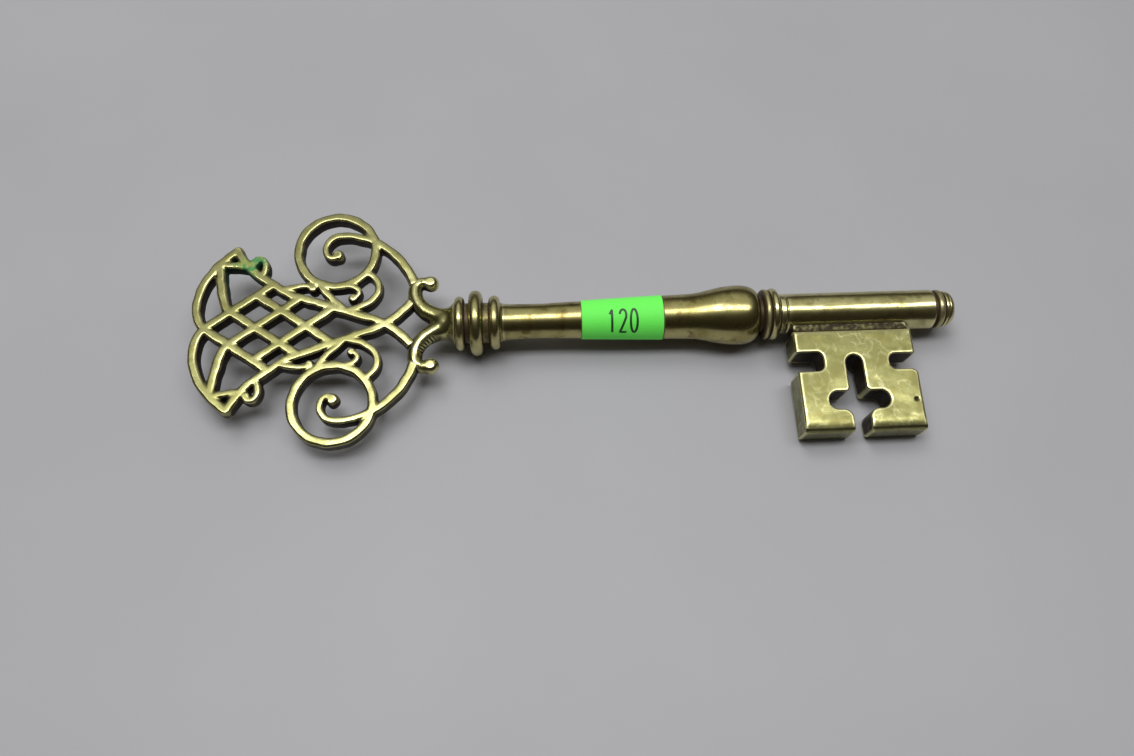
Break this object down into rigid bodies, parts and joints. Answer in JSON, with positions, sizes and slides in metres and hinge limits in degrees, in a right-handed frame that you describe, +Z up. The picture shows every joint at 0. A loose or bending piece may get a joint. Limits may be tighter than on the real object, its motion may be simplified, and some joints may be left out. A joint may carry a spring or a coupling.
{
  "type": "decorative key",
  "caption": "Large decorative brass key with a pierced trellis and scroll bow, turned collar, baluster shank, plain barrel and flat notched bit.",
  "frame": {"origin": "middle of the key's outline, on the surface it lies on", "axes": "+X along the key from bow to tip, +Y across it and away from the bit, +Z up from the surface"},
  "size_m": [0.2083, 0.0694, 0.0178],
  "materials": {
    "cast_brass": "cast brass, aged, with bright worn edges and dark patina in the piercings",
    "turned_brass": "turned brass, aged, satin polish with brown patina in the grooves",
    "stud_brass": "plain brass rod, hidden inside",
    "label_paper": "fluorescent green self-adhesive paper"
  },
  "bodies": {
    "root": {"bow": "cast_brass", "scroll_bracket": "cast_brass", "collar": "turned_brass", "shank": "turned_brass", "neck_ring": "turned_brass", "barrel": "turned_brass", "bit": "cast_brass", "end_button": "turned_brass", "bow_stud": "stud_brass", "barrel_stud": "stud_brass", "lot_label": "label_paper"}
  },
  "joints": []
}
